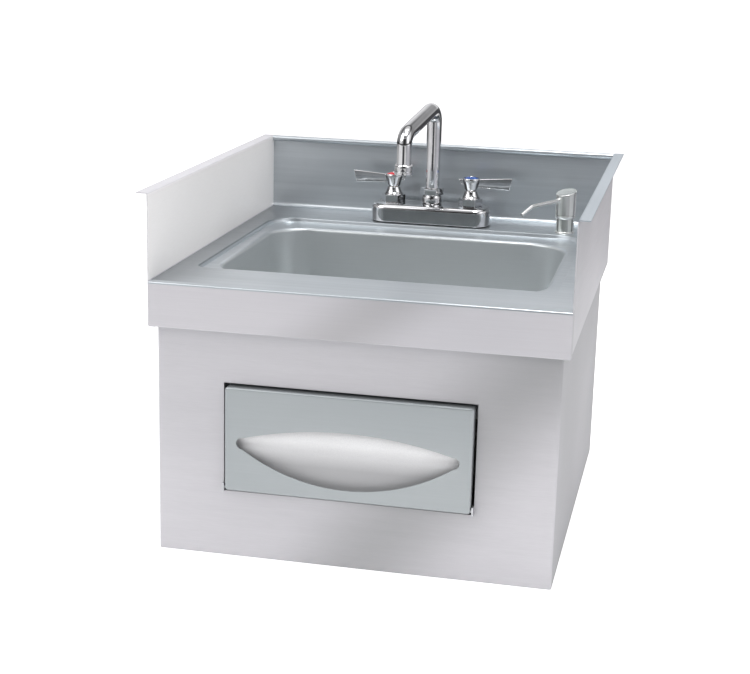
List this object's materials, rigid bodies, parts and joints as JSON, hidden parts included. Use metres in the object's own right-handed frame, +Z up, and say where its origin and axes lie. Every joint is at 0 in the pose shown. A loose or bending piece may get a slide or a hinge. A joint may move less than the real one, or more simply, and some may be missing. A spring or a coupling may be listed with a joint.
{
  "type": "portable handwash sink",
  "caption": "Counter-top stainless handwash sink with side splashes, drawn bowl, lever faucet with swing spout, soap pump and recessed tip-out towel dispenser.",
  "frame": {"origin": "bottom centre of the box: on the base plane, midway between the side flanges and between apron and wall plane", "axes": "+Z up, +Y towards the wall, +X to the right as seen by the person washing"},
  "size_m": [0.481, 0.49, 0.464],
  "materials": {
    "deck_steel": "brushed, satin",
    "skirt_steel": "fine satin, pale",
    "hidden_steel": "mill finish",
    "chrome": "polished",
    "soap_chrome": "polished, slightly warm",
    "brass": "machined",
    "rubber": "matt",
    "white_plastic": "moulded",
    "bottle_plastic": "translucent moulded",
    "hot_red": "gloss",
    "cold_blue": "gloss",
    "screw_steel": "turned",
    "towel_paper": "white paper"
  },
  "bodies": {
    "sink": {"deck_panel": "deck_steel", "bowl": "deck_steel", "back_splash": "deck_steel", "left_splash": "skirt_steel", "right_splash": "skirt_steel", "skirt_front": "skirt_steel", "skirt_left": "skirt_steel", "skirt_right": "skirt_steel", "rear_brace": "hidden_steel", "skirt_clips": "hidden_steel", "skirt_screws": "screw_steel", "drain_body": "chrome", "drain_gasket": "rubber", "drain_nut": "brass", "drain_strainer": "chrome", "strainer_screw": "screw_steel", "tailpiece": "chrome", "slip_nut": "chrome", "faucet_body": "chrome", "faucet_gasket": "rubber", "hot_shank": "brass", "cold_shank": "brass", "shank_nuts": "white_plastic", "hot_bonnet": "chrome", "cold_bonnet": "chrome", "spout_nut": "chrome", "spout_oring": "rubber", "soap_collar": "soap_chrome", "soap_gasket": "rubber", "soap_nut": "white_plastic", "soap_spring": "screw_steel", "pump_body": "white_plastic", "dip_tube": "white_plastic", "soap_bottle": "bottle_plastic", "towel_cabinet": "hidden_steel", "hinge_pins": "screw_steel", "towels": "towel_paper", "cabinet_studs": "screw_steel", "cabinet_nuts": "screw_steel"},
    "spout": {"spout_tube": "chrome", "aerator_shell": "chrome", "aerator_screen": "screw_steel"},
    "hot_handle": {"hot_stem": "brass", "hot_handle": "chrome", "hot_index": "hot_red", "hot_screw": "chrome"},
    "cold_handle": {"cold_stem": "brass", "cold_handle": "chrome", "cold_index": "cold_blue", "cold_screw": "chrome"},
    "soap_plunger": {"soap_plunger": "white_plastic"},
    "soap_head": {"soap_head": "soap_chrome", "soap_nozzle": "soap_chrome"},
    "towel_cover": {"towel_cover": "deck_steel"}
  },
  "joints": [
    {"name": "spout_swing", "type": "hinge", "parent": "sink", "child": "spout", "pos_m": [0, 0.196, 0.33], "axis": [0, 0, 1], "range_deg": [-80, 95]},
    {"name": "hot_turn", "type": "hinge", "parent": "sink", "child": "hot_handle", "pos_m": [-0.0508, 0.196, 0.36], "axis": [0, 0, 1], "range_deg": [0, 90]},
    {"name": "cold_turn", "type": "hinge", "parent": "sink", "child": "cold_handle", "pos_m": [0.0508, 0.196, 0.36], "axis": [0, 0, 1], "range_deg": [-90, 0]},
    {"name": "soap_press", "type": "slide", "parent": "sink", "child": "soap_plunger", "axis": [0, 0, -1], "range_m": [0, 0.012], "stiffness_N_per_m": 250, "springref_m": -0.012, "deforming": ["soap_spring"]},
    {"name": "soap_swivel", "type": "hinge", "parent": "soap_plunger", "child": "soap_head", "pos_m": [0.175, 0.186, 0.34], "axis": [0, 0, 1], "range_deg": [-50, 60]},
    {"name": "cover_tilt", "type": "hinge", "parent": "sink", "child": "towel_cover", "pos_m": [0, -0.241, 0.082], "axis": [1, 0, 0], "range_deg": [0, 65]}
  ]
}
